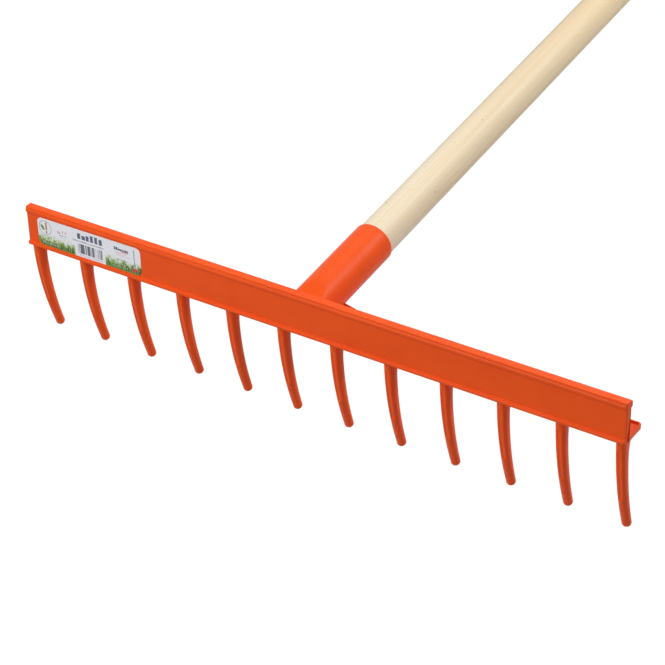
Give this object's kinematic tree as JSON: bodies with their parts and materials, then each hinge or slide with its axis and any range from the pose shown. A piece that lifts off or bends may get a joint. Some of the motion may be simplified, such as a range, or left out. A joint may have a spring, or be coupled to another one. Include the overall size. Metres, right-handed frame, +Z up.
{
  "type": "hay rake",
  "caption": "Hay and garden rake: a moulded plastic head with a row of curved tines and a tubular socket, on a long round wooden handle.",
  "frame": {"origin": "middle of the bounding box's footprint on the ground, with the rake lying on its tine tips and on the far end of its handle", "axes": "+X along the bar, to the right seen from the front; +Y from the head towards the handle's far end; +Z up"},
  "size_m": [0.483, 1.5178, 0.1132],
  "materials": {
    "head_plastic": "satin injection-moulded polypropylene",
    "handle_wood": "sanded, unvarnished pale wood",
    "screw_steel": "zinc plated",
    "label_paper": "glossy printed sticker"
  },
  "bodies": {
    "root": {"rake_bar": "head_plastic", "bar_flange": "head_plastic", "end_lips": "head_plastic", "back_lips": "head_plastic", "handle_socket": "head_plastic", "socket_gusset": "head_plastic", "tine_01": "head_plastic", "tine_02": "head_plastic", "tine_03": "head_plastic", "tine_04": "head_plastic", "tine_05": "head_plastic", "tine_06": "head_plastic", "tine_07": "head_plastic", "tine_08": "head_plastic", "tine_09": "head_plastic", "tine_10": "head_plastic", "tine_11": "head_plastic", "tine_12": "head_plastic", "handle": "handle_wood", "handle_screw": "screw_steel", "label": "label_paper"}
  },
  "joints": []
}
